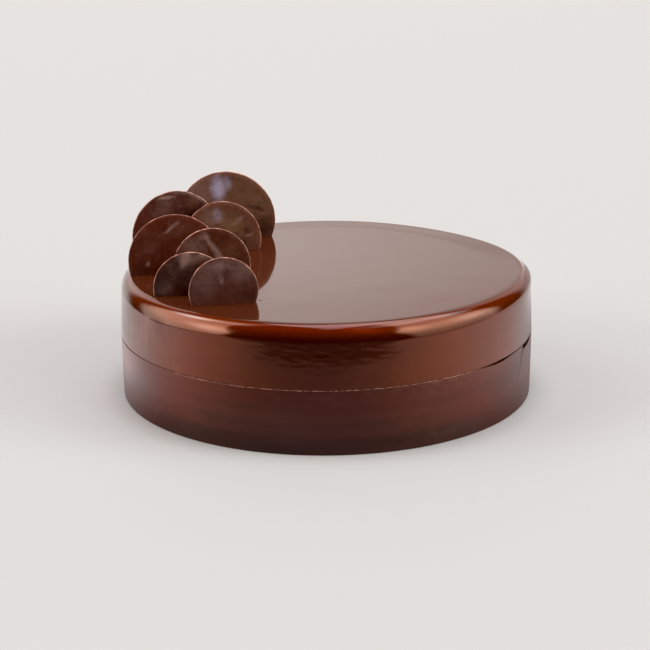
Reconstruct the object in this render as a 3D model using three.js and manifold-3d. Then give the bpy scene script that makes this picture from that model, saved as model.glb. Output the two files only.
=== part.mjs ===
// Chocolate mousse cake: a round cake under a mirror glaze, a thin chocolate band round its
// foot, and a cluster of chocolate discs pushed on edge into its top.
// Millimetres, +Z up. The origin is the middle of the base, on the surface the cake stands on.
// The front faces -Y. Angles round the cake start at the front and turn towards +X.
import * as THREE from 'three';
import { mergeVertices } from 'three/addons/utils/BufferGeometryUtils.js';
import Module from 'manifold-3d';

// Glazed cake
const cakeRadius = 104;
const cakeHeight = 62;
const shoulderRadius = 6.4;
const shoulderSteps = 6;
const roundSegments = 96;
const topRise = 0.4; // the top and the band's edge stand this much higher at +X, as poured

// Chocolate band
const bandRadius = 105;
const bandThickness = 1.2;
const bandHeight = 31.8;
const bandRows = 4;
const bandFit = 0.4; // left between the band and the cake behind it
const jointAngle = THREE.MathUtils.degToRad(67);
const jointGap = 0.6;

// Where the band's top edge stands off the cake: at its free corner and in one loose stretch
const corner = { angle: jointAngle, lift: 1, reach: 0.4 };
const looseStretch = { angle: THREE.MathUtils.degToRad(51), lift: 0.7, reach: 0.1 };

// Chocolate discs
const discThickness = 2;
const discBevel = 0.4;
const discSegments = 48;
const slotFit = 0.3; // left between a disc and the slit that it stands in

// x, y, z is a disc's middle. It turns by yaw about the upright and leans back by lean.
const discs = [
  { name: 'disc_back_right', radius: 26.4, x: -53.6, y: 63.8, z: 72.0, yaw: -2.5, lean: -4.2 },
  { name: 'disc_back_left', radius: 23.7, x: -79.4, y: 36.7, z: 69.8, yaw: 20, lean: 0 },
  { name: 'disc_middle_right', radius: 20.3, x: -54.3, y: 35.4, z: 67.9, yaw: 1, lean: -1.2 },
  { name: 'disc_middle_left', radius: 24.2, x: -74.9, y: -13.2, z: 68.1, yaw: -1.6, lean: 6.9 },
  { name: 'disc_middle', radius: 19.3, x: -56.5, y: -22.0, z: 68.8, yaw: 10, lean: -2 },
  { name: 'disc_front_left', radius: 18.5, x: -64.4, y: -50.9, z: 65.0, yaw: 1.1, lean: -0.9 },
  { name: 'disc_front_right', radius: 16.6, x: -48.3, y: -65.4, z: 68.1, yaw: 9.7, lean: -0.9 },
];

const glaze = new THREE.MeshStandardMaterial({ color: 0x5a2a1c, roughness: 0.08, metalness: 0 });
const bandChocolate = new THREE.MeshStandardMaterial({ color: 0x43211d, roughness: 0.4, metalness: 0 });
const discChocolate = new THREE.MeshStandardMaterial({ color: 0x4a2a24, roughness: 0.45, metalness: 0 });

const wasm = await Module();
wasm.setup();

// A closed geometry as a solid that can be cut
function solidOf(geometry) {
  const bare = geometry.clone();
  bare.deleteAttribute('normal');
  bare.deleteAttribute('uv');
  const merged = mergeVertices(bare, 1e-4);
  const vertProperties = new Float32Array(merged.attributes.position.array);
  const triVerts = new Uint32Array(merged.index.array);
  return new wasm.Manifold(new wasm.Mesh({ numProp: 3, vertProperties, triVerts }));
}

function geometryOf(solid) {
  const mesh = solid.getMesh();
  const geometry = new THREE.BufferGeometry();
  geometry.setAttribute('position', new THREE.BufferAttribute(mesh.vertProperties, 3));
  geometry.setIndex(new THREE.BufferAttribute(mesh.triVerts, 1));
  geometry.computeVertexNormals();
  return geometry;
}

// Raises a geometry's upper part towards +X, and leaves its base flat
function tipTop(geometry) {
  const position = geometry.attributes.position;
  for (let i = 0; i < position.count; i += 1) {
    const share = Math.min(1, position.getZ(i) / bandHeight);
    position.setZ(i, position.getZ(i) + topRise * share * position.getX(i) / cakeRadius);
  }
  return geometry;
}

// The cake's half section: narrower behind the band, upright above it, round at the shoulder
function cakeProfile() {
  const footRadius = bandRadius - bandThickness - bandFit;
  const ledge = bandHeight + bandFit;
  const points = [
    new THREE.Vector2(0, 0),
    new THREE.Vector2(footRadius, 0),
    new THREE.Vector2(footRadius, ledge),
    new THREE.Vector2(cakeRadius, ledge),
  ];
  for (let i = 0; i <= shoulderSteps; i += 1) {
    const turn = (i / shoulderSteps) * (Math.PI / 2);
    points.push(new THREE.Vector2(
      cakeRadius - shoulderRadius * (1 - Math.cos(turn)),
      cakeHeight - shoulderRadius * (1 - Math.sin(turn)),
    ));
  }
  points.push(new THREE.Vector2(0, cakeHeight));
  return points;
}

// A disc on its axis, its edge bevelled, grown all round by grow
function discGeometry(radius, grow) {
  const half = discThickness / 2 + grow;
  const rim = radius + grow;
  const profile = [
    new THREE.Vector2(0, -half),
    new THREE.Vector2(rim - discBevel, -half),
    new THREE.Vector2(rim, discBevel - half),
    new THREE.Vector2(rim, half - discBevel),
    new THREE.Vector2(rim - discBevel, half),
    new THREE.Vector2(0, half),
  ];
  return new THREE.LatheGeometry(profile, discSegments);
}

function placeDisc(object, disc) {
  const lean = THREE.MathUtils.degToRad(-disc.lean);
  object.position.set(disc.x, disc.y, disc.z);
  object.rotation.set(lean, 0, THREE.MathUtils.degToRad(disc.yaw), 'ZXY');
  object.updateMatrix();
  return object;
}

function discSlot(disc) {
  const place = placeDisc(new THREE.Object3D(), disc);
  return solidOf(discGeometry(disc.radius, slotFit).applyMatrix4(place.matrix));
}

function makeCake() {
  const blank = new THREE.LatheGeometry(cakeProfile(), roundSegments).rotateX(Math.PI / 2);
  let cake = solidOf(tipTop(blank));
  for (const disc of discs) {
    cake = cake.subtract(discSlot(disc));
  }
  const mesh = new THREE.Mesh(geometryOf(cake), glaze);
  mesh.name = 'cake_body';
  return mesh;
}

// How far the band stands off at an angle round the cake and a height
function standOff(angle, height) {
  const up = (height / bandHeight) ** 2;
  const pastCorner = (angle - corner.angle) / corner.reach;
  const fromStretch = (angle - looseStretch.angle - 2 * Math.PI) / looseStretch.reach;
  const atCorner = corner.lift * Math.max(0, 1 - pastCorner) ** 2;
  const atStretch = looseStretch.lift * Math.exp(-(fromStretch ** 2));
  return (atCorner + atStretch) * up;
}

// A flat strip bent round the cake until its two ends meet at the joint
function makeBand() {
  const middleRadius = bandRadius - bandThickness / 2;
  const turn = 2 * Math.PI - jointGap / middleRadius;
  const strip = new THREE.BoxGeometry(turn, bandThickness, bandHeight, roundSegments, 1, bandRows);
  const position = strip.attributes.position;
  for (let i = 0; i < position.count; i += 1) {
    const angle = jointAngle + Math.PI + position.getX(i);
    const height = position.getZ(i) + bandHeight / 2;
    const radius = middleRadius - position.getY(i) + standOff(angle, height);
    position.setXYZ(i, radius * Math.sin(angle), -radius * Math.cos(angle), height);
  }
  const mesh = new THREE.Mesh(tipTop(strip), bandChocolate);
  mesh.name = 'chocolate_band';
  return mesh;
}

function makeDisc(disc) {
  const mesh = new THREE.Mesh(discGeometry(disc.radius, 0), discChocolate);
  mesh.name = disc.name;
  return placeDisc(mesh, disc);
}

const mousseCake = new THREE.Group();
mousseCake.add(makeCake());
mousseCake.add(makeBand());
for (const disc of discs) {
  mousseCake.add(makeDisc(disc));
}

export default mousseCake;
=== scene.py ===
import math

import bmesh
import bpy
from mathutils import Matrix, Vector, noise


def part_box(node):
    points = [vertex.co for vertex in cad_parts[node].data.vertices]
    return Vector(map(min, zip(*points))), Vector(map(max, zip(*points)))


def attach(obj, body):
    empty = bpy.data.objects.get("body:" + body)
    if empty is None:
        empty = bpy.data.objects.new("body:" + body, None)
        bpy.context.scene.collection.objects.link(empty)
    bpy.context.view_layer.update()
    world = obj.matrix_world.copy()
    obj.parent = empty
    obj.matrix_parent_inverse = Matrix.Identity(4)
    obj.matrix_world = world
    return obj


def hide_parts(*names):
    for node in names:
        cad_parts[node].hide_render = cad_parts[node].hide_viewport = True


# A chocolate mousse cake: mirror glaze, a chocolate band round its foot, seven chocolate discs.
# Metres, +Z up, the front towards -Y. Angles round the cake start at the front and turn towards +X.
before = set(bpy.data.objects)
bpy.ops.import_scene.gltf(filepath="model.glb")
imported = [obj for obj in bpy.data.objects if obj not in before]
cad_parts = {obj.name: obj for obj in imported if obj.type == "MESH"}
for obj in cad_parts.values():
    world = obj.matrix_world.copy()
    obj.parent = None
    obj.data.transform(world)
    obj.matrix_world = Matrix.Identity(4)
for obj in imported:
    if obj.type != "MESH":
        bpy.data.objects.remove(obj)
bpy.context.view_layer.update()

mm = 0.001
fullTurn = 2 * math.pi
weldReach = 0.004 * mm
sharpFrom = math.radians(65)   # edges steeper than this stay sharp
discNames = sorted(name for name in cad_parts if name.startswith("disc_"))


def smoothStep(low, high, value):
    share = min(1, max(0, (value - low) / (high - low)))
    return share * share * (3 - 2 * share)


def bump(middle, reach, value):
    return math.exp(-((value - middle) / reach) ** 2)


# the angle round the cake, from -pi to pi, nought at the front
def angleOf(point):
    return math.atan2(point.x, -point.y)


def atAngle(radius, angle, height):
    return Vector((radius * math.sin(angle), -radius * math.cos(angle), height))


# how far an angle lies from another, the short way round
def angleFrom(middle, angle):
    return (angle - middle + math.pi) % fullTurn - math.pi


# soft unevenness: a grain is how wide, how tall, which pattern and how strong
def ripple(along, up, grain, slant=0):
    wide, tall, pattern, strength = grain
    return strength * noise.noise(Vector((along / wide + slant * up / wide, up / tall, pattern)))


def titled(name):
    return "".join(word.capitalize() for word in name.split("_")[1:])


def addObject(name, data):
    made = bpy.data.objects.new(name, data)
    bpy.context.scene.collection.objects.link(made)
    return made


def meshFrom(bm, name):
    mesh = bpy.data.meshes.new(name)
    bm.to_mesh(mesh)
    bm.free()
    return mesh


# an outline spun a whole turn round an axis through the origin
def spinOutline(points, axis, steps):
    bm = bmesh.new()
    verts = [bm.verts.new(point) for point in points]
    edges = [bm.edges.new(pair) for pair in zip(verts, verts[1:])]
    bmesh.ops.spin(bm, geom=verts + edges, cent=(0, 0, 0), axis=axis, angle=fullTurn, steps=steps,
                   use_merge=True)
    bmesh.ops.remove_doubles(bm, verts=bm.verts, dist=weldReach)
    return bm


def finishPiece(bm, name, *materials):
    bmesh.ops.remove_doubles(bm, verts=bm.verts, dist=weldReach)
    bmesh.ops.recalc_face_normals(bm, faces=bm.faces)
    for edge in bm.edges:
        if edge.is_manifold and edge.calc_face_angle() > sharpFrom:
            edge.smooth = False
    mesh = meshFrom(bm, name)
    for polygon in mesh.polygons:
        polygon.use_smooth = True
    for material in materials:
        mesh.materials.append(material)
    piece = addObject(name, mesh)
    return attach(piece, "root")


# adds nodes to a material or to the world: most methods give back a socket to build on
class Nodes:
    def __init__(self, tree):
        self.tree = tree

    def add(self, kind, **settings):
        node = self.tree.nodes.new(kind)
        for name, value in settings.items():
            setattr(node, name, value)
        return node

    def plug(self, source, target):
        self.tree.links.new(source, target)

    def put(self, socket, value):
        if isinstance(value, bpy.types.NodeSocket):
            self.plug(value, socket)
        else:
            socket.default_value = value

    def math(self, operation, *values):
        node = self.add("ShaderNodeMath", operation=operation)
        for socket, value in zip(node.inputs, values):
            self.put(socket, value)
        return node.outputs[0]

    def times(self, *values):
        result = values[0]
        for value in values[1:]:
            result = self.math("MULTIPLY", result, value)
        return result

    # a number is set on the shader's own socket, a node's output is linked
    def fill(self, shader, values):
        for name, value in values.items():
            self.put(shader.inputs[name], value)

    # the place looked up, then its three parts
    def coordinates(self, output="Object"):
        place = self.add("ShaderNodeTexCoord").outputs[output]
        split = self.add("ShaderNodeSeparateXYZ")
        self.plug(place, split.inputs[0])
        return place, *split.outputs

    def ramp(self, value, low, high, newLow=0.0, newHigh=1.0, kind="SMOOTHSTEP"):
        node = self.add("ShaderNodeMapRange", interpolation_type=kind)
        for name, number in (("Value", value), ("From Min", low), ("From Max", high)):
            self.put(node.inputs[name], number)
        node.inputs["To Min"].default_value = newLow
        node.inputs["To Max"].default_value = newHigh
        return node.outputs[0]

    def vectorMath(self, operation, *values):
        node = self.add("ShaderNodeVectorMath", operation=operation)
        for socket, value in zip(node.inputs, values):
            self.put(socket, value)
        return node.outputs["Value"] if operation in ("LENGTH", "DOT_PRODUCT") else node.outputs[0]

    def mix(self, share, first, second):
        node = self.add("ShaderNodeMix", data_type="RGBA")
        self.put(node.inputs[0], share)
        self.put(node.inputs[6], first)
        self.put(node.inputs[7], second)
        return node.outputs[2]

    def noise(self, scale, detail=3.0, stretch=(1, 1, 1), roughness=0.5, shift=(0, 0, 0), output=0):
        place = self.add("ShaderNodeTexCoord")
        mapping = self.add("ShaderNodeMapping")
        mapping.inputs["Scale"].default_value = stretch
        mapping.inputs["Location"].default_value = shift
        self.plug(place.outputs["Object"], mapping.inputs["Vector"])
        node = self.add("ShaderNodeTexNoise")
        node.inputs["Scale"].default_value = scale
        node.inputs["Detail"].default_value = detail
        node.inputs["Roughness"].default_value = roughness
        self.plug(mapping.outputs[0], node.inputs["Vector"])
        return node.outputs[output]

    # a small wandering of the place looked up, so that patches get ragged outlines
    def wander(self, scale, reach):
        cloud = self.noise(scale, 4, output=1)
        centred = self.vectorMath("SUBTRACT", cloud, (0.5, 0.5, 0.5))
        return self.vectorMath("MULTIPLY", centred, (reach, reach, reach))

    # a soft-edged patch round a place on the object, nought outside it and one in its middle
    def patch(self, middle, size, tilt=0.0, soft=0.55, ragged=None, axis=1):
        place = self.add("ShaderNodeTexCoord").outputs["Object"]
        if ragged is not None:
            place = self.vectorMath("ADD", place, ragged)
        mapping = self.add("ShaderNodeMapping", vector_type="TEXTURE")
        mapping.inputs["Location"].default_value = middle
        mapping.inputs["Rotation"].default_value[axis] = math.radians(tilt)
        mapping.inputs["Scale"].default_value = size
        self.plug(place, mapping.inputs["Vector"])
        return self.ramp(self.vectorMath("LENGTH", mapping.outputs[0]), 1.0, 1.0 - soft)

    def relief(self, height, distance, strength=1.0, below=None):
        node = self.add("ShaderNodeBump")
        node.inputs["Strength"].default_value = strength
        node.inputs["Distance"].default_value = distance
        self.plug(height, node.inputs["Height"])
        if below is not None:
            self.plug(below, node.inputs["Normal"])
        return node.outputs[0]


def newMaterial(name):
    material = bpy.data.materials.new(name)
    material.use_nodes = True
    nodes = Nodes(material.node_tree)
    shader = material.node_tree.nodes["Principled BSDF"]
    return material, nodes, shader


def rgb(red, green, blue):
    return (red, green, blue, 1.0)


glazeLook = {
    "deep": rgb(0.138, 0.019, 0.0008),
    "thin": rgb(0.160, 0.026, 0.0018),
    "cloudScale": 28,
    "cloudRange": (0.35, 0.7),
    "coatRoughness": 0.03,
    "wallMetallic": 0.90,
    "shoulderMetallic": 0.81,
    "wallFrom": (57.5 * mm, 53.5 * mm),   # heights from the shoulder to the wall
    "wallRoughness": 0.19,
    "topRoughness": 0.12,
    "dullFrom": (53 * mm, 50 * mm),   # heights over which the wall grows duller
    "top": rgb(0.0425, 0.0098, 0.0039),
    "topMetallic": 0.20,
    "topCoat": 0.42,
    "topFrom": (100.3 * mm, 99.2 * mm),   # how far out the top's own finish sets in
    "smear": rgb(0.36, 0.17, 0.155),   # pale upright streaks of painted sheen on the left wall
    "smearStretch": (95, 95, 42),
    "smearRange": (0.42, 0.72),
    "smearFrom": (-64 * mm, -88 * mm),
    "smearShare": 0.34,
    # painted shade for the gap between the band and the glaze
    "bare": rgb(0.052, 0.014, 0.007),
    "glazedFrom": (-0.9 * mm, -0.4 * mm),   # measured from the ledge over the band
    "lowWall": (50 * mm, 45 * mm),   # below this the wall is a little rougher in shape
    "dimple": 0.03 * mm,
    "dimpleScale": 300,
    "mottle": 0.06 * mm,
    "mottleScale": 95,
    "grain": 0.003 * mm,
    "grainScale": 420,
    "nickWidth": 0.45 * mm,
    "nickReach": 4 * mm,
    "nickDepth": 0.5 * mm,
}
# small cuts left in the glaze where the discs went in: middle, half length, turn in degrees
nicks = [
    ((-31.3, 63.4), 3.2, 0),
    ((-35.6, 34.5), 1.6, 0),
    ((-31.4, -60.7), 1.4, -12),
    ((-81.9, -54.2), 1.7, 10),
]


def glazeMaterial():
    look = glazeLook
    material, nodes, shader = newMaterial("mirrorGlaze")
    cloud = nodes.noise(look["cloudScale"], 4, stretch=(1, 1, 1.6))
    colour = nodes.mix(nodes.ramp(cloud, *look["cloudRange"]), look["deep"], look["thin"])
    # the wall is a little duller than the shoulder and the top
    place, east, _, height = nodes.coordinates()
    onWall = nodes.ramp(height, *look["dullFrom"])
    roughness = nodes.ramp(onWall, 0, 1, look["topRoughness"], look["wallRoughness"], "LINEAR")
    below = nodes.ramp(height, *look["wallFrom"])
    metallic = nodes.ramp(below, 0, 1, look["shoulderMetallic"], look["wallMetallic"], "LINEAR")
    # the flat top is browner, and less of a mirror in its depth
    flat = nodes.vectorMath("MULTIPLY", place, (1, 1, 0))
    onTop = nodes.ramp(nodes.vectorMath("LENGTH", flat), *look["topFrom"])
    less = look["shoulderMetallic"] - look["topMetallic"]
    metallic = nodes.math("SUBTRACT", metallic, nodes.times(onTop, less))
    colour = nodes.mix(onTop, colour, look["top"])
    # painted sheen: pale upright streaks on the left wall only, standing for the room's bright left side
    # mirrored in the uneven glaze
    smear = nodes.noise(1.0, 3, stretch=look["smearStretch"], shift=(3, 1, 2))
    smear = nodes.ramp(smear, *look["smearRange"])
    smear = nodes.times(smear, nodes.ramp(east, *look["smearFrom"], 0, look["smearShare"]))
    colour = nodes.mix(nodes.times(smear, below), colour, look["smear"])
    # behind the band the cake is painted dark and has no gloss: painted shade in the gap under the glaze
    aboveGapShade = nodes.ramp(height, *[cake["ledge"] + reach for reach in look["glazedFrom"]])
    coat = nodes.math("MULTIPLY_ADD", onTop, look["topCoat"] - 1, 1.0)
    # the surface: a fine grain, a mottle and dimples low on the wall, and the cuts
    lowWall = nodes.ramp(height, *look["lowWall"])
    dimples = nodes.times(nodes.noise(look["dimpleScale"], 3, stretch=(1, 1, 0.7)), lowWall)
    bumped = nodes.relief(nodes.noise(look["grainScale"], 2), look["grain"], 0.4)
    mottle = nodes.noise(look["mottleScale"], 2, stretch=(1, 1, 0.6), shift=(4, 0, 2))
    mottle = nodes.times(mottle, lowWall)
    bumped = nodes.relief(mottle, look["mottle"], 1.0, bumped)
    bumped = nodes.relief(dimples, look["dimple"], 1.0, bumped)
    cuts = 0.0
    for (across, back), half, turn in nicks:
        size = (half * mm, look["nickWidth"], look["nickReach"])
        cut = nodes.patch((across * mm, back * mm, cake["height"]), size, turn, 0.9, axis=2)
        cuts = nodes.math("MAXIMUM", cut, cuts)
    bumped = nodes.relief(cuts, -look["nickDepth"], 1.0, bumped)
    nodes.fill(shader, {
        "Base Color": nodes.mix(aboveGapShade, look["bare"], colour),
        "Roughness": roughness,
        "Metallic": nodes.times(metallic, aboveGapShade),
        "Specular IOR Level": 0.0,
        "Coat Weight": nodes.times(coat, aboveGapShade),
        "Coat Roughness": look["coatRoughness"],
        "Normal": bumped,
        "Coat Normal": bumped,
    })
    return material


bandLook = {
    "dark": rgb(0.085, 0.0132, 0.0060),
    "light": rgb(0.134, 0.0222, 0.0100),
    "streaks": (5, 5, 190),
    "cloudScale": 22,
    "shares": (0.55, 0.45),   # of the streaks and of the clouds
    "lightRange": (0.35, 0.68),
    "dusty": rgb(0.200, 0.080, 0.066),
    "dustShare": 0.4,
    "dustScale": 13,
    "dustRange": (0.5, 0.75),
    "dustGrain": 160,
    "dustGrainRange": (0.35, 0.7),
    "metallic": 0.90,
    "roughness": (0.22, 0.34),
    "roughRange": (0.3, 0.7),
    "coatRoughness": 0.19,
    "coatIor": 1.43,
    "grain": 0.006 * mm,
    "grainScale": 900,
    "streakDepth": 0.02 * mm,
}


def bandMaterial():
    look = bandLook
    material, nodes, shader = newMaterial("bandChocolate")
    streak = nodes.noise(1.0, 4, stretch=look["streaks"])
    cloud = nodes.noise(look["cloudScale"], 3, stretch=(1, 1, 2))
    streakShare, cloudShare = look["shares"]
    both = nodes.math("MULTIPLY_ADD", streak, streakShare, nodes.times(cloud, cloudShare))
    colour = nodes.mix(nodes.ramp(both, *look["lightRange"]), look["dark"], look["light"])
    dust = nodes.noise(look["dustScale"], 4, stretch=(1, 1, 3), shift=(2, 5, 1))
    dustGrain = nodes.noise(look["dustGrain"], 3, stretch=(1, 1, 1.6))
    dust = nodes.times(nodes.ramp(dust, *look["dustRange"]), nodes.ramp(dustGrain, *look["dustGrainRange"]))
    grain = nodes.relief(nodes.noise(look["grainScale"], 2), look["grain"], 0.5)
    grain = nodes.relief(streak, look["streakDepth"], 0.5, grain)
    nodes.fill(shader, {
        "Base Color": nodes.mix(nodes.times(dust, look["dustShare"]), colour, look["dusty"]),
        "Roughness": nodes.ramp(both, *look["roughRange"], *look["roughness"]),
        "Metallic": look["metallic"],
        "Specular IOR Level": 0.0,
        "Coat Weight": 1.0,
        "Coat Roughness": look["coatRoughness"],
        "Coat IOR": look["coatIor"],
        "Normal": grain,
        "Coat Normal": grain,
    })
    return material


# cut edges: dull chocolate with pale specks, partly the cut chocolate's own paleness and partly a painted
# highlight where the edges catch the light
edgeLooks = {
    "bandEdge": (rgb(0.10, 0.035, 0.028), rgb(0.34, 0.155, 0.112), 420),
    "discRim": (rgb(0.13, 0.050, 0.035), rgb(0.36, 0.17, 0.125), 330),
}
edgeFinish = {
    "speckRange": (0.4, 0.62),
    "roughness": 0.55,
    "depth": 0.1 * mm,
    "strength": 0.8,
}


def edgeMaterial(name):
    dull, bright, scale = edgeLooks[name]
    material, nodes, shader = newMaterial(name)
    speck = nodes.noise(scale, 3)
    nodes.fill(shader, {
        "Base Color": nodes.mix(nodes.ramp(speck, *edgeFinish["speckRange"]), dull, bright),
        "Roughness": edgeFinish["roughness"],
        "Normal": nodes.relief(speck, edgeFinish["depth"], edgeFinish["strength"]),
    })
    return material


chocolate = {
    # the bluish colour is a painted reflection; the pale colour serves for bloom and for painted highlight
    # streaks; the dark colour serves for dark marks and for painted shade at the discs' feet
    "haze": rgb(0.370, 0.325, 0.465),
    "milk": rgb(0.235, 0.145, 0.128),
    "olive": rgb(0.158, 0.082, 0.041),
    "brown": rgb(0.086, 0.032, 0.020),
    "red": rgb(0.072, 0.013, 0.006),
    "dark": rgb(0.015, 0.0028, 0.0014),
    "roughness": (0.30, 0.46),
    "roughRange": (0.4, 0.9),
    "paleRougher": 0.5,   # how much rougher the pale patches are
    "ior": 1.45,
    "ragged": (130, 5 * mm),
    "cloudScale": 90,
    "cloudRange": (0.3, 0.72),
    "cloudShare": 0.32,
    "patchSpread": 1.3,
    "patchReach": 30 * mm,   # right through the disc
    "patchClouds": (0.3, 0.6, 0.6, 1.0),
    "softness": 0.9,
    "slimFrom": 1.7,   # slimmer patches than this have a firmer edge
    "slimSoftness": 0.7,
    "mottleScale": 430,
    "darkMottle": (0.48, 0.72, 0, 0.4),
    "paleMottle": (0.5, 0.26, 0, 0.16),
    "speckScale": 1500,
    "specks": (0.68, 0.78, 0, 0.35),
    "swell": 0.25 * mm,
    "swellScale": 36,
    "grain": 0.03 * mm,
    "grainScale": 260,
}
# each disc's plain colour, then patches: (across, up), half size in mm, tilt, colour, strength; the patches
# are partly the chocolate's own tone and bloom, and partly painted reflection, painted highlight and painted
# shade
discLooks = {
    "disc_back_right": (rgb(0.142, 0.062, 0.044), [
        ((12, 7), (17, 18), 0, "olive", 0.75), ((-14, 16), (11, 9), 20, "milk", 0.5),
        ((-4.6, 16.5), (4.4, 8.5), 0, "haze", 1.0), ((-4.0, 17), (2.0, 5), 0, "haze", 1.0),
        ((0.6, 19.5), (3.2, 4.5), 0, "haze", 0.6),
        ((15.5, 6.2), (5.5, 1.3), 12, "dark", 0.75), ((20.5, 3.6), (3, 0.5), 3, "milk", 0.5),
        ((17, -7), (15, 9), 0, "dark", 0.92), ((16.5, 11), (3.5, 2), 30, "milk", 0.25),
        ((22, -1), (5, 6), 0, "brown", 0.5)]),
    "disc_back_left": (rgb(0.047, 0.0092, 0.0062), [
        ((-6, 15.5), (5, 7), 0, "milk", 0.15), ((-4, 20.4), (5, 1.0), -8, "milk", 0.7),
        ((10.7, 17), (6, 4), -30, "olive", 0.3), ((7, 11), (8, 5), 0, "dark", 0.6),
        ((-17, 4), (7, 12), 0, "red", 0.5)]),
    "disc_middle_right": (rgb(0.126, 0.050, 0.030), [
        ((4, 6), (9, 8), 0, "olive", 0.85), ((-5, 11.5), (7, 6), 0, "milk", 0.45),
        ((-3, 12.8), (3, 5), 0, "haze", 0.32), ((8, 9.5), (4.5, 1.6), -35, "milk", 0.4),
        ((-1, -5), (16, 9), 0, "dark", 0.95),
        ((12.4, 4.9), (2.2, 2.6), 0, "dark", 0.85), ((13.6, 2.6), (3, 0.8), -25, "milk", 0.7),
        ((14, -4), (9, 6), 0, "brown", 0.6), ((17, 9), (3, 8), 0, "red", 0.4)]),
    "disc_middle_left": (rgb(0.054, 0.0095, 0.0042), [
        ((3, 17.5), (7, 4.5), -20, "brown", 0.6), ((-1, 18.6), (4, 0.9), -38, "milk", 0.4),
        ((-3.6, 16.4), (2.6, 0.8), -30, "milk", 0.45), ((-12, 8), (8, 7), 0, "brown", 0.35),
        ((-13.6, -1.0), (1.3, 1.5), 0, "milk", 0.55), ((2, 2), (9, 10), 0, "red", 0.6),
        ((-17, -8), (8, 9), 0, "dark", 0.45)]),
    "disc_middle": (rgb(0.062, 0.0145, 0.0070), [
        ((-9, 10), (7, 7), 25, "milk", 0.30), ((0.2, 11), (1.9, 7.5), -32, "milk", 0.75),
        ((3.4, 4), (2.0, 5), -8, "milk", 0.55), ((-3.4, 14.8), (3, 1.6), 0, "milk", 0.4),
        ((10, 8), (6, 7), 0, "olive", 0.22), ((-3, 3.5), (5, 3), 0, "dark", 0.6),
        ((13, -2), (7, 6), 0, "dark", 0.6)]),
    "disc_front_left": (rgb(0.026, 0.0062, 0.0044), [
        ((-7, 9), (8, 5), 30, "brown", 0.45), ((-2.8, 14.6), (2.4, 4.8), 16, "milk", 1.0),
        ((-2.0, 16.0), (5.0, 2.6), 0, "milk", 0.9), ((4, 15.5), (6, 2.4), -20, "milk", 0.75),
        ((5, 14), (7, 3.5), -10, "brown", 0.7), ((-3.6, 5.5), (4.5, 2.4), 12, "dark", 0.6),
        ((-1, -3), (7, 5), 0, "dark", 0.7), ((-13, 1), (4.5, 5), 0, "milk", 0.28)]),
    "disc_front_right": (rgb(0.058, 0.0180, 0.0135), [
        ((-1.4, 5.8), (1.2, 3.0), -8, "milk", 0.5), ((-2.0, 11.5), (3.2, 4), 0, "milk", 0.4),
        ((0, 13), (11, 3), 0, "milk", 0.4),
        ((-8, 6), (8, 9), 0, "milk", 0.22), ((9, 9), (7, 5), -35, "milk", 0.25),
        ((12, -3), (7, 5), 0, "dark", 0.4), ((0, -6), (10, 3.4), 0, "red", 0.4)]),
}


def discMaterial(name, place):
    look = chocolate
    plain, patches = discLooks[name]
    material, nodes, shader = newMaterial("chocolate" + titled(name))
    ragged = nodes.wander(*look["ragged"])
    cloud = nodes.noise(look["cloudScale"], 5, roughness=0.6)
    browner = nodes.ramp(cloud, *look["cloudRange"], 0, look["cloudShare"])
    colour = nodes.mix(browner, plain, look["brown"])
    paleness = 0.0
    # patches of tone and bloom, of painted reflection and painted highlight, and of painted shade low on the
    # discs
    for (across, up), (wide, tall), tilt, kind, strength in patches:
        middle = place @ Vector((across * mm, 0, up * mm))
        soft = look["softness" if min(wide, tall) > look["slimFrom"] else "slimSoftness"]
        spread = look["patchSpread"]
        size = (wide * spread * mm, look["patchReach"], tall * spread * mm)
        mask = nodes.patch(middle, size, tilt, soft, ragged)
        mask = nodes.times(mask, strength, nodes.ramp(cloud, *look["patchClouds"]))
        colour = nodes.mix(mask, colour, look[kind])
        if kind in ("haze", "milk"):
            paleness = nodes.math("MAXIMUM", mask, paleness)
    # a fine uneven mottle, and pale specks
    fine = nodes.noise(look["mottleScale"], 5, roughness=0.65)
    colour = nodes.mix(nodes.ramp(fine, *look["darkMottle"]), colour, look["dark"])
    colour = nodes.mix(nodes.ramp(fine, *look["paleMottle"]), colour, look["milk"])
    speck = nodes.ramp(nodes.noise(look["speckScale"], 2), *look["specks"])
    dullness = nodes.math("MULTIPLY_ADD", paleness, look["paleRougher"], cloud)
    swell = nodes.relief(nodes.noise(look["swellScale"], 2), look["swell"], 0.5)
    grain = nodes.relief(nodes.noise(look["grainScale"], 4), look["grain"], 0.6, swell)
    nodes.fill(shader, {
        "Base Color": nodes.mix(speck, colour, look["milk"]),
        "Roughness": nodes.ramp(dullness, *look["roughRange"], *look["roughness"]),
        "IOR": look["ior"],
        "Normal": grain,
    })
    return material


# the cake and its band keep to their CAD boxes
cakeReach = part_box("cake_body")[1].x
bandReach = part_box("chocolate_band")[1].x

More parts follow.
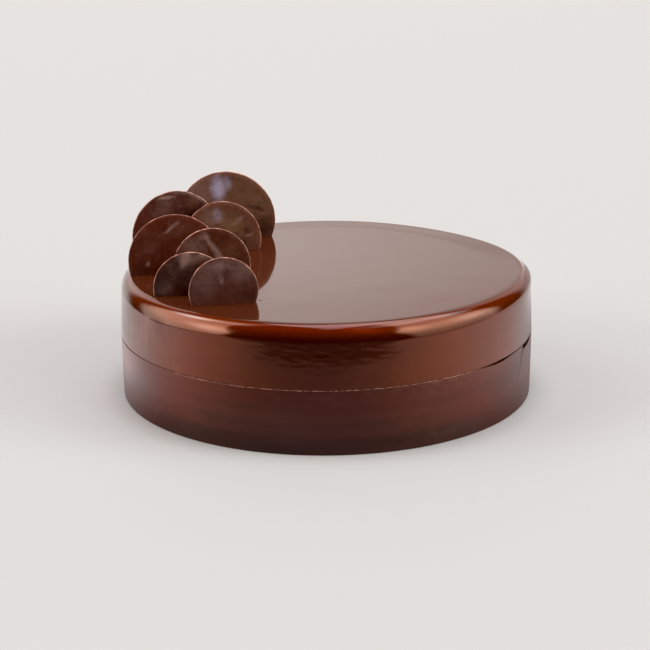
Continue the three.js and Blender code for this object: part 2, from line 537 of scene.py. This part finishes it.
cake = {
    "radius": cakeReach - 0.05 * mm,
    "height": 62 * mm,
    "topRise": 0.4 * mm,   # how much higher the top and the band's edge stand at +X
    "lean": math.radians(2.3),   # the wall leans out towards its foot
    "shoulder": 6.1 * mm,   # radius where the shoulder turns over
    "easeIn": 25 * mm,   # extra radius at the shoulder's foot, gone within a few degrees
    "easeTurn": math.radians(8),
    "footRadius": 102.6 * mm,
    "ledge": 31.85 * mm,   # where the glaze comes out over the band
    "rollUnder": 0.15 * mm,
    "lip": 0.04 * mm,
    "steps": 540,
    "footRows": (0.33, 0.66, 1),
    "wallRows": 48,
    "shoulderRows": 30,
    "shoulderParts": 20,   # steps within each row, for a true curve
    "topRings": 46,
    # unevenness, as grains for ripple, and how deep each kind goes
    "waves": [(26 * mm, 6.5 * mm, 1.3, 1.0), (9 * mm, 4 * mm, 7.9, 0.5)],
    "waveFade": (42 * mm, 50 * mm, 0.9),
    "wallRipple": 0.04 * mm,
    "folds": [(5 * mm, 1.9 * mm, 3.7, 1.0), (2.4 * mm, 1.2 * mm, 6.1, 0.3)],   # from running over the edge
    "foldHeight": (48 * mm, 9 * mm),
    "foldAngle": (-0.04, 0.36),
    "foldRipple": 0.052 * mm,
    "streaks": (3.4 * mm, 16 * mm, 2.6, 1.2),
    "streaksFrom": (0.75, 1.1),   # radians round to the left
    "swells": [(30 * mm, 22 * mm, 4.2, 1.0), (11 * mm, 9 * mm, 9.1, 0.4)],
    "topSwell": 0.03 * mm,
    "unevenFrom": 4 * mm,   # above the ledge
    # middle, how far round, how deep or how far out
    "sunk": [(math.radians(134), 0.52, 0.95 * mm), (math.radians(180), 1.1, 0.35 * mm)],
    "bulge": (math.radians(92), 0.33, 0.8 * mm),
    "bulgeHeight": (58 * mm, 3.4 * mm),
    "rimOut": (80 * mm, 100 * mm),
    "rimUp": (50 * mm, 58 * mm),
}


def topRiseAt(point):
    share = min(1, max(0, point.z / cake["ledge"]))
    return cake["topRise"] * share * point.x / cake["radius"]


# the shoulder as (inset, height) from the wall's top edge: slow at first, then a round turn
def shoulderCurve():
    points, inset, height = [(0, 0)], 0, 0
    rows, parts, lean = cake["shoulderRows"], cake["shoulderParts"], cake["lean"]
    for row in range(rows):
        for part in range(parts):
            turn = lean + (math.pi / 2 - lean) * (row + (part + 0.5) / parts) / rows
            reach = cake["shoulder"] + cake["easeIn"] * math.exp(-turn / cake["easeTurn"])
            reach *= (math.pi / 2 - lean) / rows / parts
            inset += reach * math.sin(turn)
            height += reach * math.cos(turn)
        points.append((inset, height))
    return points


def cakeSection():
    radius, height, foot, ledge = cake["radius"], cake["height"], cake["footRadius"], cake["ledge"]
    rollUnder, lip = cake["rollUnder"], cake["lip"]
    points = [(0, 0), (foot * 0.5, 0), (foot, 0)]
    points += [(foot, ledge * share) for share in cake["footRows"]]
    curve = shoulderCurve()
    bottom, top = ledge + rollUnder, height - curve[-1][1]
    wide = radius + math.tan(cake["lean"]) * (top - bottom)
    points += [(wide - rollUnder, ledge), (wide - lip, ledge + lip)]
    rows = cake["wallRows"]
    for row in range(rows):
        share = row / rows
        points.append((wide + (radius - wide) * share, bottom + (top - bottom) * share))
    points += [(radius - inset, top + rise) for inset, rise in curve]
    inner, rings = radius - curve[-1][0], cake["topRings"]
    points += [(inner * (1 - ring / rings), height) for ring in range(1, rings + 1)]
    return points


# how far the poured glaze departs from a true wall and top
def glazeUneven(point, normal):
    angle = angleOf(point)
    along = angle * cake["radius"]
    upright = 1 - abs(normal.z)
    wave = sum(ripple(along, point.z, grain) for grain in cake["waves"])
    fadeLow, fadeHigh, fade = cake["waveFade"]
    wave *= 1 - fade * smoothStep(fadeLow, fadeHigh, point.z)
    slanting, level = cake["folds"]
    fold = ripple(along, point.z, slanting, 1) + ripple(along, point.z, level)
    fold *= bump(*cake["foldHeight"], point.z) * bump(*cake["foldAngle"], angle)
    fold += ripple(along, point.z, cake["streaks"]) * smoothStep(*cake["streaksFrom"], -angle)
    swell = sum(ripple(point.x, point.y, grain) for grain in cake["swells"])
    inside = smoothStep(cake["ledge"], cake["ledge"] + cake["unevenFrom"], point.z)
    onWall = upright * (cake["wallRipple"] * wave + cake["foldRipple"] * fold)
    return inside * (onWall + abs(normal.z) * cake["topSwell"] * swell)


# the rim sank a little at the back, and the glaze bulges on the right
def settle(point):
    angle, across = angleOf(point), math.hypot(point.x, point.y)
    nearRim = smoothStep(*cake["rimOut"], across) * smoothStep(*cake["rimUp"], point.z)
    for middle, reach, down in cake["sunk"]:
        point.z -= down * bump(0, reach, angleFrom(middle, angle)) * nearRim
    middle, reach, out = cake["bulge"]
    swollen = out * bump(middle, reach, angle) * bump(*cake["bulgeHeight"], point.z)
    grow = 1 + swollen * nearRim / cake["radius"]
    point.x *= grow
    point.y *= grow


def makeCake(material):
    outline = [(0, -radius, height) for radius, height in cakeSection()]
    bm = spinOutline(outline, (0, 0, 1), cake["steps"])
    bmesh.ops.recalc_face_normals(bm, faces=bm.faces)
    bm.normal_update()
    for vert in bm.verts:
        if vert.co.z > cake["ledge"]:
            vert.co += vert.normal * glazeUneven(vert.co, vert.normal)
        settle(vert.co)
        vert.co.z += topRiseAt(vert.co)
    piece = finishPiece(bm, "glazedCake", material)
    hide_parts("cake_body")
    print("cake done")


band = {
    "outer": bandReach - 0.1 * mm,
    "thickness": 1.2 * mm,
    "height": 31.8 * mm,
    "offFloor": 0.05 * mm,
    "footIn": 0.25 * mm,   # how far the foot draws in
    "edgeRound": 0.12 * mm,
    "edgeShare": 0.3,
    "edgeMargin": 0.1 * mm,
    "steps": 900,
    "rows": 16,
    "innerRows": (0.75, 0.5, 0.25),
    "joint": math.radians(67),
    "jointGap": 0.65 * mm,
    "jointClose": (0.97, 0.012),   # how far it closes towards the foot, and how far round
    "jointOpen": (0.6, 1),   # shares of the height over which it opens
    "jointSlant": 13 * mm,
    "slantReach": 0.15,
    "cornerLift": 0.1 * mm,
    "cornerReach": 0.5,
    "cornerDrop": 2.4 * mm,
    "settled": 0.16 * mm,
    # places where the edge hangs clear of the glaze: middle, how far down, how far round
    "loose": [(math.radians(51.5), 0.95 * mm, 0.10), (math.radians(-74), 0.38 * mm, 0.2)],
    "topReach": 2 * mm,   # how far down from its edge the band is ragged
    "edgeWave": (34 * mm, 0.10),   # how wide, how many millimetres deep
    "chips": (1.1 * mm, 0.12, 0.28),   # how wide, how rare, how many millimetres deep
    "chipPlaces": (2.6, 0.05, 0.3, 0.25),   # how often round, where they start and are full, the least
    "warp": (40 * mm, 9 * mm, 3.3, 0.04 * mm),
    "cutFrom": math.radians(44),   # the cut edge is painted pale, partly as a painted highlight, only within this angle of the front
}


def bandSection():
    outer, inner = band["outer"], band["outer"] - band["thickness"]
    rounding, top, low = band["edgeRound"], band["height"], band["offFloor"]
    slight = band["edgeShare"] * rounding
    points = [(outer - rounding, low), (outer - slight, low + slight), (outer, low + rounding)]
    rows, margin = band["rows"], band["edgeMargin"]
    first, last = low + rounding + margin, top - rounding - margin
    points += [(outer, first + (last - first) * row / rows) for row in range(rows + 1)]
    points += [(outer, top - rounding), (outer - slight, top - slight), (outer - rounding, top)]
    points += [(inner + rounding, top), (inner, top - rounding)]
    points += [(inner, top * share) for share in band["innerRows"]]
    points += [(inner, low)]
    return points


# nought away from the band's loose end, one at its corner
def looseEnd(angle):
    fromJoint = (angle - band["joint"]) % fullTurn
    return max(0, 1 - fromJoint / band["cornerReach"])


# the loose end stands off a little towards its top
def bandStandOff(angle, height):
    share = min(1, max(0, height / band["height"]))
    return band["cornerLift"] * looseEnd(angle) ** 2 * share ** 2


# how far the cut edge sinks below the glaze
def bandDrop(angle):
    atCorner = band["cornerDrop"] * looseEnd(angle) ** 1.5
    hanging = sum(down * bump(middle, reach, angle) for middle, down, reach in band["loose"])
    return band["settled"] + atCorner + hanging


# the cut edge crumbled here and there
def bandChipping(angle):
    often, low, high, least = band["chipPlaces"]
    return least + smoothStep(low, high, noise.noise(Vector((angle * often, 0.7, 0)))) * (1 - least)


# the ragged line of the band's upper edge
def edgeWave(along, angle):
    waveWide, waveDeep = band["edgeWave"]
    chipWide, rare, chipDeep = band["chips"]
    wave = noise.noise(Vector((along / waveWide, 2.2, 0))) * waveDeep
    chips = noise.noise(Vector((along / chipWide, 8.2, 0)))
    return (wave - chipDeep * max(0, chips - rare) * bandChipping(angle)) * mm


def makeBand(material, edge):
    bm = bmesh.new()
    section = [bm.verts.new((0, -radius, height)) for radius, height in bandSection()]
    edges = [bm.edges.new(pair) for pair in zip(section, section[1:] + section[:1])]
    start = bm.faces.new(section)
    half = band["jointGap"] / band["outer"] / 2
    bmesh.ops.rotate(bm, verts=bm.verts, cent=(0, 0, 0),
                     matrix=Matrix.Rotation(band["joint"] + half, 3, "Z"))
    bmesh.ops.spin(bm, geom=[start] + edges + section, cent=(0, 0, 0), axis=(0, 0, 1),
                   angle=fullTurn - 2 * half, steps=band["steps"])
    bmesh.ops.recalc_face_normals(bm, faces=bm.faces)
    closing, closeReach = band["jointClose"]
    for vert in bm.verts:
        angle, height = angleOf(vert.co), vert.co.z
        radius = math.hypot(vert.co.x, vert.co.y) + bandStandOff(angle, height)
        along = angle * band["outer"]
        upward = min(1, height / band["height"])
        radius -= band["footIn"] * (1 - upward) ** 1.5
        off = angleFrom(band["joint"], angle)
        closed = bump(0, closeReach, off) * (1 - smoothStep(*band["jointOpen"], upward))
        angle -= math.copysign(half * closing, off) * closed
        angle -= band["jointSlant"] / band["outer"] * (1 - upward) * bump(0, band["slantReach"], off)
        nearTop = smoothStep(band["height"] - band["topReach"], band["height"], height)
        radius += ripple(along, height, band["warp"])
        vert.co = atAngle(radius, angle, height + nearTop * (edgeWave(along, angle) - bandDrop(angle)))
        vert.co.z += topRiseAt(vert.co)
    # the pale cut edge, partly a painted highlight, goes only on the band's top near the front
    for face in bm.faces:
        cut = abs(face.normal.z) > 0.3 and abs(angleOf(face.calc_center_median())) < band["cutFrom"]
        face.material_index = 1 if cut else 0
    piece = finishPiece(bm, "chocolateBand", material, edge)
    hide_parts("chocolate_band")
    print("band done")


disc = {
    "segments": 128,
    "rings": 10,
    "chamfer": 0.29 * mm,
    "chamferTurn": (0.3, 0.45),   # the chamfer's middle point, as shares of it
    "thickness": 2.0 * mm,
    "taper": 0.36 * mm,   # how much smaller the back is than the front
    "warp": 0.12 * mm,
    "warpWide": 18 * mm,
    "rimReach": 1.5 * mm,
    "rimRough": 0.09,   # millimetres in and out
    "rimWide": 3 * mm,
    "still": 0.1 * mm,   # the middle stays put
    "patternStep": 5.3,   # each disc has its own pattern
}


# a disc's middle, radius and turn, from its CAD node
def discPlace(node):
    low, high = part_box(node)
    middle = (low + high) / 2
    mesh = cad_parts[node].data
    front = max((face for face in mesh.polygons if face.normal.y < 0), key=lambda face: face.area)
    normal = front.normal.normalized()
    yaw = math.atan2(normal.x, -normal.y)
    lean = math.asin(normal.z)
    radius = max((vert.co - middle).cross(normal).length for vert in mesh.vertices)
    turn = Matrix.Rotation(yaw, 4, "Z") @ Matrix.Rotation(-lean, 4, "X")
    return Matrix.Translation(middle) @ turn, radius


# a disc's half outline as (across, depth), from the middle of its front to the middle of its back
def discSection(radius):
    half, chamfer, rings = disc["thickness"] / 2, disc["chamfer"], disc["rings"]
    inward, deeper = (share * chamfer for share in disc["chamferTurn"])
    back = radius - disc["taper"]
    section = [(0, -half)]
    section += [((radius - chamfer) * ring / rings, -half) for ring in range(1, rings + 1)]
    section += [(radius - inward, -half + deeper), (radius, -half + chamfer)]
    section += [(back, half - chamfer), (back - inward, half - deeper)]
    section += [((back - chamfer) * (1 - ring / rings), half) for ring in range(rings + 1)]
    return section


# discs aren't true: the face is warped and the rim wavers
def wearDisc(bm, radius, pattern):
    for vert in bm.verts:
        across = math.hypot(vert.co.x, vert.co.z)
        angle = math.atan2(vert.co.z, vert.co.x)
        warp = noise.noise(Vector((vert.co.x / disc["warpWide"], vert.co.z / disc["warpWide"], pattern)))
        nearRim = smoothStep(radius - disc["rimReach"], radius, across)
        east, up = math.cos(angle) * radius, math.sin(angle) * radius
        rough = noise.noise(Vector((east / disc["rimWide"], up / disc["rimWide"], pattern)))
        if across > disc["still"]:
            grow = 1 + nearRim * (disc["rimRough"] * rough - disc["rimRough"]) * mm / radius
            vert.co.x *= grow
            vert.co.z *= grow
        vert.co.y += disc["warp"] * warp


def makeDisc(node, index, rim):
    place, radius = discPlace(node)
    face = discMaterial(node, place)
    outline = [(across, depth, 0) for across, depth in discSection(radius)]
    bm = spinOutline(outline, (0, 1, 0), disc["segments"])
    wearDisc(bm, radius, disc["patternStep"] * index)
    bmesh.ops.recalc_face_normals(bm, faces=bm.faces)
    rimFrom = radius - disc["taper"] - disc["chamfer"] * 0.55
    rimDepth = disc["thickness"] / 2 - 0.1 * disc["chamfer"]
    for polygon in bm.faces:
        middle = polygon.calc_center_median()
        onRim = math.hypot(middle.x, middle.z) > rimFrom and abs(middle.y) < rimDepth
        polygon.material_index = 1 if onRim else 0
    bmesh.ops.transform(bm, matrix=place, verts=bm.verts)
    piece = finishPiece(bm, "chocolateDisc" + titled(node), face, rim)
    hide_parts(node)


# the studio: a plain floor, and light from all round; a light's colour is red, green, blue
studio = {
    "floorSize": 6,
    "floorColour": rgb(0.258, 0.250, 0.244),
    "floorRoughness": 0.9,
    "blackLevel": 0.003,
    "dark": (0.02, 0.01, 0.01),
    "glow": (0.50, 0.090, 0.016),   # warm light from the darker part of the room
    "glowRise": (2, 60, 0.08, 1.0),
    # the pale wall behind, in its dark frame: degrees round and up, and how soft each end is
    "frameRound": (105, 241, 6),
    "frameTop": (56, 50),
    "wall": (0.765, 0.825, 0.815),
    "wallRound": (136, 222, 7),
    "wallRise": (-12, 45, 3),
    "wallLower": (11, 15.5, 0.7, 1.0),   # it gives less light low down
    "wallFade": (172, 186, 0.72, 1.13),
    "wallDip": (16.3, 19.5, 0.8, 0.12),   # a duller stretch of wall: from, to, softness, how much
    "ridge": (6, 0, 1.0, 1.045),   # it is a little brighter straight behind
    "middle": (1.235, 1.176, 1.113),   # what its middle gives on top of the rest
    "middleWidth": (17.5, 13, 0.25),   # to each side: its end, where it is full, how it widens upwards
    # a lighter strip of ceiling from front to back; its sizes are for a ceiling one metre up
    "ceiling": (1.45, 2.5, 3.5),
    "stripOff": 0.03,
    "stripWidth": (-0.2, 0.3, 0.06, 0.26),
    "stripSoft": 0.03,
    "stripEnds": (-0.36, 0.5, 0.04),
    "stripRise": (30, 50),
    "stripFade": (-0.25, 0.2, 0.55, 1.0),
    # where the bright sides give way: a dark place at the left of the back, and high up
    "leftBack": ((255, 232), (170, 195), (38, 52)),
    "highUp": (28, 46, 0.38),
    "leftDim": (264, 244, 0.4, 0.55),   # the left side fades towards the back, sooner low down
    "glintReach": 1.6,
}
# lamps that show in nothing glossy: degrees round, degrees up, strength, softness in degrees
lamps = [
    (0, 90, 3.7, 32),
    (78, 20, 2.5, 30),
    (-78, 20, 1.5, 30),
]
# the bright sides of the room, each behind a straight edge overhead: where it faces, how far the
# edge passes from straight up, its softness and light; "lower" fades it downwards, and "cut" ends
# it towards the front, as degrees round where it is dark and light and how that leans with height
sides = [
    {"facing": -142, "edge": 0.245, "soft": 0.035, "light": (2.30, 2.50, 2.16), "lower": (-16, 8, 0.62),
     "cut": (310, 302, -0.6)},
    {"facing": 125, "edge": 0.213, "soft": 0.045, "light": (2.12, 2.58, 2.34), "lower": (-12, 18, 0.30),
     "cut": (40, 48, 0.5)},
]
# brighter places: degrees round and up, how far they reach, their light
glints = [
    ((-105, 47), (15, 9), (3.0, 6.0, 7.2)),
    ((-68, 12), (13, 13), (1.6, 2.4, 2.6)),
    ((-84, 58), (16, 6), (0.5, 1.2, 1.6)),
    ((119, 54), (20, 8), (1.2, 2.5, 3.2)),
    ((90, 66), (50, 8), (0.8, 1.9, 2.6)),
    ((50, 24), (9, 16), (1.0, 1.3, 0.9)),
    ((86, 21), (11, 14), (0.9, 1.6, 1.6)),
    ((26, 44), (10, 26), (0.45, 0.10, 0.01)),
    ((118, 14), (14, 30), (0.12, 0.03, 0.0)),
    ((-127, 14), (12, 30), (0.12, 0.03, 0.0)),
]
# the table top as the cake meets it, bright at the sides and dark at its front edge; tones go
# round it as (degrees, level)
table = {
    "radius": 0.5,
    "depth": 0.3 * mm,   # under the floor
    "edges": [(-107, 0.288), (49, 0.356)],   # its straight sides: degrees round, how far off
    "border": 0.022,
    "borderSoft": 0.004,
    "borderFront": (0.04, 0.0),
    "frontEdge": (-0.304, -0.250),
    "front": rgb(0.033, 0.033, 0.040),
    "frontGlow": (-0.44, -0.32, 3.3),   # a little lighter near the edge
    "tones": [(-180, 0.74), (-120, 0.60), (-106, 0.82), (-93, 1.10), (-80, 1.15), (-66, 0.98), (-54, 0.78),
              (-38, 0.50), (-26, 0.34), (-12, 0.27), (0, 0.26), (12, 0.30), (26, 0.46), (38, 0.70),
              (53, 0.88), (66, 1.08), (80, 1.07), (93, 0.93), (106, 0.76), (120, 0.60), (180, 0.74)],
    "cool": (1.0, 0.95, 1.04),   # tints of the tones: the front, the rest of the front half, the sides
    "coolWithin": 20,
    "warm": (1.0, 0.90, 0.80),
    "warmWithin": 60,
    "plain": (1.0, 0.94, 0.92),
    "nearTones": [(-180, 0.84), (-125, 0.88), (-88, 0.78), (-55, 0.84), (-25, 0.97), (0, 1.06), (30, 1.02),
                  (80, 1.0), (110, 0.74), (130, 0.56), (180, 0.60)],
    "near": (0.165, 0.235),   # how far out these hold, and where they are gone
    "closeTones": [(-180, 0.60), (-100, 0.76), (-75, 0.61), (-61, 0.60), (-48, 0.70), (-27, 0.84), (-17, 1.0),
                   (-6, 1.0), (4, 0.82), (20, 0.72), (41, 0.63), (55, 0.60), (66, 0.44), (85, 0.38),
                   (110, 0.38), (180, 0.55)],
    "close": (0.142, 0.185),   # the same for those by the cake's foot
    "closeTint": rgb(1.55, 1.78, 1.76),
    "sideTint": rgb(1.72, 1.56, 1.58),
    "foot": (0.090, 0.150),   # the shade under the foot, and where it is gone
    "shade": rgb(0.10, 0.25, 0.28),
    "sideShade": rgb(0.14, 0.10, 0.09),
    "sideFrom": (0.68, 1.0),   # radians round, where the sides' tint and shade take over
}


def makeWorld():
    world = bpy.data.worlds.new("studio")
    bpy.context.scene.world = world
    world.use_nodes = True
    nodes = Nodes(world.node_tree)
    background = world.node_tree.nodes["Background"]
    place, east, north, up = nodes.coordinates("Generated")
    degrees = 180 / math.pi
    # degrees up, and degrees round: turn from -180 to 180, behind from 0 to 360
    rise = nodes.times(nodes.math("ARCSINE", up), degrees)
    turn = nodes.times(nodes.math("ARCTAN2", east, nodes.times(north, -1)), degrees)
    behind = nodes.math("MULTIPLY_ADD", nodes.math("LESS_THAN", turn, 0), 360, turn)

    def between(value, low, high, soft):
        entered = nodes.ramp(value, low - soft, low + soft)
        return nodes.times(entered, nodes.ramp(value, high + soft, high - soft))

    def without(shape):
        return nodes.math("SUBTRACT", 1.0, shape)

    def lit(shape, light, under):
        return nodes.vectorMath("MULTIPLY_ADD", shape, light, under)

    # the pale wall behind, in its dark frame
    framed = nodes.times(between(behind, *studio["frameRound"]), nodes.ramp(rise, *studio["frameTop"]))
    dipLow, dipHigh, dipSoft, dip = studio["wallDip"]
    duller = nodes.math("MULTIPLY_ADD", between(rise, dipLow, dipHigh, dipSoft), -dip, 1.0)
    wall = nodes.times(between(behind, *studio["wallRound"]), between(rise, *studio["wallRise"]),
                       nodes.ramp(rise, *studio["wallLower"]),
                       nodes.ramp(behind, *studio["wallFade"], "LINEAR"), duller)
    offMiddle = nodes.math("ABSOLUTE", nodes.math("SUBTRACT", behind, 180))
    wall = nodes.times(wall, nodes.ramp(offMiddle, *studio["ridge"]))
    outer, inner, widening = studio["middleWidth"]
    middle = nodes.ramp(nodes.math("MULTIPLY_ADD", rise, -widening, offMiddle), outer, inner)
    glow = nodes.ramp(rise, *studio["glowRise"], "LINEAR")
    total = lit(glow, studio["glow"], studio["dark"])
    total = lit(wall, studio["wall"], total)
    total = lit(nodes.times(wall, middle), studio["middle"], total)

    # the strip of ceiling, wider towards the back
    above = nodes.math("MAXIMUM", up, 0.01)
    sideways = nodes.math("SUBTRACT", nodes.math("DIVIDE", east, above), studio["stripOff"])
    backward = nodes.math("DIVIDE", north, above)
    width = nodes.ramp(backward, *studio["stripWidth"], "LINEAR")
    past = nodes.math("SUBTRACT", nodes.math("ABSOLUTE", sideways), width)
    strip = nodes.times(nodes.ramp(past, studio["stripSoft"], -studio["stripSoft"]),
                        between(backward, *studio["stripEnds"]), nodes.ramp(rise, *studio["stripRise"]))
    bright = nodes.times(strip, nodes.ramp(backward, *studio["stripFade"], "LINEAR"))
    total = lit(bright, studio["ceiling"], total)

    # the bright sides, wherever the wall, the strip and the dark place leave room
    backEnd, backStart, backRise = studio["leftBack"]
    leftBack = nodes.times(nodes.ramp(behind, *backEnd), nodes.ramp(behind, *backStart),
                           nodes.ramp(rise, *backRise))
    elsewhere = nodes.times(without(framed), without(strip), without(leftBack))
    highFrom, highTo, highLoss = studio["highUp"]
    dimmer = without(nodes.times(nodes.ramp(rise, highFrom, highTo), highLoss))
    dimTo, dimFrom, dimSlant, dimLeast = studio["leftDim"]
    leftDimmer = nodes.ramp(nodes.math("MULTIPLY_ADD", rise, dimSlant, behind), dimTo, dimFrom, 1.0, dimLeast)
    leftDimmer = nodes.math("MAXIMUM", leftDimmer, nodes.math("LESS_THAN", behind, 180))
    for side in sides:
        facing = math.radians(side["facing"])
        beyond = nodes.vectorMath("DOT_PRODUCT", place,
                                  (math.sin(facing), -math.cos(facing), -side["edge"]))
        lowFrom, lowTo, lowLeast = side["lower"]
        cutDark, cutLight, cutSlant = side["cut"]
        shape = nodes.times(nodes.ramp(beyond, -side["soft"], side["soft"]), elsewhere, dimmer, leftDimmer,
                            nodes.ramp(rise, lowFrom, lowTo, lowLeast, 1.0),
                            nodes.ramp(nodes.math("MULTIPLY_ADD", rise, cutSlant, behind), cutDark, cutLight))
        total = lit(shape, side["light"], total)
    for (towards, height), (across, upright), light in glints:
        offAcross = nodes.math("DIVIDE", nodes.math("SUBTRACT", turn, towards), across)
        offUp = nodes.math("DIVIDE", nodes.math("SUBTRACT", rise, height), upright)
        off = nodes.math("SQRT", nodes.math("ADD", nodes.math("POWER", nodes.math("ABSOLUTE", offAcross), 2),
                                            nodes.math("POWER", nodes.math("ABSOLUTE", offUp), 2)))
        total = lit(nodes.ramp(off, studio["glintReach"], 0), light, total)
    nodes.plug(total, background.inputs["Color"])


def facingTo(degrees):
    return Vector((math.sin(math.radians(degrees)), -math.cos(math.radians(degrees)), 0))


def roundSheet(name, radius, height, cuts=()):
    bm = bmesh.new()
    bmesh.ops.create_circle(bm, cap_ends=True, segments=96, radius=radius)
    for degrees, reach in cuts:
        everything = list(bm.verts) + list(bm.edges) + list(bm.faces)
        bmesh.ops.bisect_plane(bm, geom=everything, plane_co=facingTo(degrees) * reach,
                               plane_no=facingTo(degrees), clear_outer=True)
    bmesh.ops.translate(bm, verts=bm.verts, vec=(0, 0, height))
    sheet = addObject(name, meshFrom(bm, name))
    return sheet


def makeLamps():
    for number, (turn, rise, strength, softness) in enumerate(lamps):
        data = bpy.data.lights.new(f"lamp{number}", "SUN")
        data.energy = strength
        data.angle = math.radians(softness)
        lamp = addObject(data.name, data)
        tipped = Matrix.Rotation(math.radians(90 - rise), 4, "X")
        lamp.matrix_world = Matrix.Rotation(math.radians(turn), 4, "Z") @ tipped
        lamp.visible_glossy = False


def makeFloor():
    floor = roundSheet("floor", studio["floorSize"], 0)
    material, nodes, shader = newMaterial("paleFloor")
    nodes.fill(shader, {"Base Color": studio["floorColour"], "Roughness": studio["floorRoughness"]})
    floor.data.materials.append(material)
    floor.visible_glossy = False
    floor.visible_diffuse = False
    floor.visible_shadow = False


# only the cake sees this sheet, just under the floor, so the floor itself stays plain
def makeTable():
    sheet = roundSheet("tableLight", table["radius"], -table["depth"], table["edges"])
    material, nodes, shader = newMaterial("tableLight")
    place, east, north, _ = nodes.coordinates()
    turn = nodes.math("ARCTAN2", east, nodes.times(north, -1))
    turnShare = nodes.math("MULTIPLY_ADD", turn, 0.5 / math.pi, 0.5)

    def tonesRound(levels, tinted):
        ramp = nodes.add("ShaderNodeValToRGB")
        ramp.color_ramp.interpolation = "B_SPLINE"
        stops = ramp.color_ramp.elements
        while len(stops) < len(levels):
            stops.new(0.5)
        for stop, (degrees, level) in zip(stops, levels):
            off = abs(degrees)
            kind = "cool" if off < table["coolWithin"] else "warm" if off < table["warmWithin"] else "plain"
            tint = table[kind] if tinted else (1, 1, 1)
            stop.position = degrees / 360 + 0.5
            stop.color = rgb(*[level * part for part in tint])
        nodes.plug(turnShare, ramp.inputs[0])
        return ramp.outputs[0]

    # the tones by the cake lie over those further out, and the foot's shade over both
    away = nodes.vectorMath("LENGTH", place)
    near = nodes.mix(nodes.ramp(away, *table["near"]), tonesRound(table["nearTones"], False), rgb(1, 1, 1))
    beside = nodes.ramp(nodes.math("ABSOLUTE", turn), *table["sideFrom"])
    closeTint = nodes.mix(beside, table["closeTint"], table["sideTint"])
    close = nodes.vectorMath("MULTIPLY", tonesRound(table["closeTones"], False), closeTint)
    close = nodes.mix(nodes.ramp(away, *table["close"]), close, rgb(1, 1, 1))
    near = nodes.vectorMath("MULTIPLY", near, close)
    glowFrom, glowTo, glow = table["frontGlow"]
    front = nodes.vectorMath("MULTIPLY", table["front"][:3], nodes.ramp(north, glowFrom, glowTo, 1.0, glow))
    lit = nodes.vectorMath("MULTIPLY", tonesRound(table["tones"], True), near)
    lit = nodes.mix(nodes.ramp(north, *table["frontEdge"]), front, lit)
    for degrees, reach in table["edges"]:
        across = nodes.vectorMath("DOT_PRODUCT", place, facingTo(degrees))
        inner = reach - table["border"]
        border = nodes.times(nodes.ramp(across, inner, inner + table["borderSoft"]),
                             nodes.ramp(north, *table["borderFront"]))
        lit = nodes.mix(border, lit, table["front"])
    shade = nodes.mix(beside, table["shade"], table["sideShade"])
    lit = nodes.mix(nodes.ramp(away, *table["foot"]), shade, lit)
    nodes.fill(shader, {"Base Color": rgb(0, 0, 0), "Specular IOR Level": 0.0, "Emission Strength": 1.0,
                        "Emission Color": lit})
    sheet.data.materials.append(material)
    sheet.visible_camera = False
    sheet.visible_shadow = False
    sheet.visible_transmission = False


view = {
    "lens": 91.4,
    "sensor": 36,
    "clip": (0.05, 20),
    "distance": 0.849,
    "height": 17.07,   # degrees above the table
    "aim": 35 * mm,
    "tilt": -0.30,
    "turn": -0.05,
    "roll": -0.45,
}


def makeCamera():
    data = bpy.data.cameras.new("camera")
    camera = addObject("camera", data)
    rise = math.radians(view["height"])
    data.lens = view["lens"]
    data.sensor_width = view["sensor"]
    data.clip_start, data.clip_end = view["clip"]
    place = Vector((0, -view["distance"] * math.cos(rise), view["aim"] + view["distance"] * math.sin(rise)))
    look = Matrix.Rotation(math.pi / 2 - rise + math.radians(view["tilt"]), 4, "X")
    look = Matrix.Rotation(-math.radians(view["turn"]), 4, "Z") @ look
    look = look @ Matrix.Rotation(math.radians(view["roll"]), 4, "Z")
    camera.matrix_world = Matrix.Translation(place) @ look
    bpy.context.scene.camera = camera


def setViewing():
    settings = bpy.context.scene.view_settings
    settings.view_transform = "Standard"
    settings.use_curve_mapping = True
    settings.curve_mapping.black_level = (studio["blackLevel"],) * 3
    settings.curve_mapping.update()


makeCamera()
makeWorld()
makeLamps()
makeFloor()
makeTable()
setViewing()
print("studio done")

glaze = glazeMaterial()
bandChocolate = bandMaterial()
bandRim = edgeMaterial("bandEdge")
discRim = edgeMaterial("discRim")
makeCake(glaze)
makeBand(bandChocolate, bandRim)
for number, discName in enumerate(discNames):
    makeDisc(discName, number, discRim)
print("discs done")
